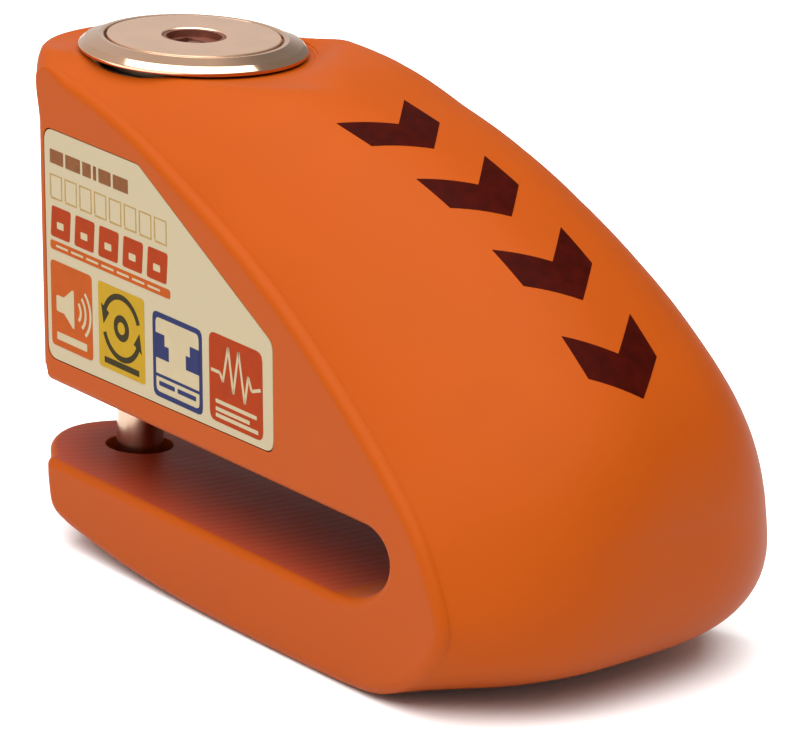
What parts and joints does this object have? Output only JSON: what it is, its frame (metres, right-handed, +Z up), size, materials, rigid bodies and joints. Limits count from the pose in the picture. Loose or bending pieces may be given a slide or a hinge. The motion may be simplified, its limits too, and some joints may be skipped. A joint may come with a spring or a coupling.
{
  "type": "disc brake lock",
  "caption": "Wedge-shaped alarmed brake disc lock: a cast body with an open slot, a push-down barrel whose pin crosses the slot, a side label and a hidden side cover.",
  "frame": {"origin": "centre of the bounding box at the flat base", "axes": "+X from the open mouth to the closed back, +Z up along the barrel, +Y towards the side cover, -Y the label side"},
  "size_m": [0.1031, 0.0584, 0.0664],
  "materials": {
    "casting": "satin powder coat",
    "steel": "polished",
    "brushed": "brushed",
    "dark_steel": "oiled",
    "brass": "machined brass",
    "seal": "matt",
    "black_plastic": "moulded",
    "grey_plastic": "moulded",
    "board": "solder mask",
    "label": "printed film",
    "cell": "sleeved"
  },
  "bodies": {
    "casing": {"body": "casting", "side_cover": "casting", "side_label": "label", "cover_gasket": "seal", "bore_bush": "brass", "return_spring": "steel", "stop_pin": "steel", "battery_cradle": "black_plastic", "battery": "cell", "battery_contact_back": "brass", "battery_contact_front": "brass", "circuit_board": "board", "siren_disc": "brushed", "controller_chip": "black_plastic", "shock_sensor": "steel", "capacitor": "cell", "siren_coil": "brass", "switch_body": "grey_plastic", "cover_screw_1": "dark_steel", "cover_screw_2": "dark_steel", "cover_screw_3": "dark_steel", "cover_screw_4": "dark_steel"},
    "barrel": {"barrel_shell": "dark_steel", "barrel_seal": "seal", "lock_pin": "steel", "cap_ring": "steel", "cap_face": "brushed"},
    "core": {"core_face": "dark_steel", "disc_carrier": "brass", "tail_cam": "steel", "lock_disc_1": "brass", "lock_disc_2": "brass", "lock_disc_3": "brass", "lock_disc_4": "brass", "lock_disc_5": "brass", "lock_disc_6": "brass"},
    "bolt_left": {"locking_bolt_left": "steel"},
    "bolt_right": {"locking_bolt_right": "steel"},
    "plunger": {"switch_plunger": "brass"}
  },
  "joints": [
    {"name": "barrel_slide", "type": "slide", "parent": "casing", "child": "barrel", "axis": [0, 0, 1], "range_m": [0, 0.0142], "deforming": ["return_spring"]},
    {"name": "key_turn", "type": "hinge", "parent": "barrel", "child": "core", "pos_m": [-0.032, 0, 0.06], "axis": [0, 0, 1], "range_deg": [0, 90]},
    {"name": "bolt_left_slide", "type": "slide", "parent": "barrel", "child": "bolt_left", "axis": [0, 1, 0], "range_m": [0, 0.002]},
    {"name": "bolt_right_slide", "type": "slide", "parent": "barrel", "child": "bolt_right", "axis": [0, -1, 0], "range_m": [0, 0.002]},
    {"name": "plunger_slide", "type": "slide", "parent": "casing", "child": "plunger", "axis": [-1, 0, 0], "range_m": [0, 0.00101]}
  ],
  "couplings": [
    {"joint": "bolt_left_slide", "follows": "key_turn", "m_per_rad": 0.00127},
    {"joint": "bolt_right_slide", "follows": "key_turn", "m_per_rad": 0.00127},
    {"joint": "plunger_slide", "follows": "barrel_slide", "ratio": 0.0704}
  ]
}
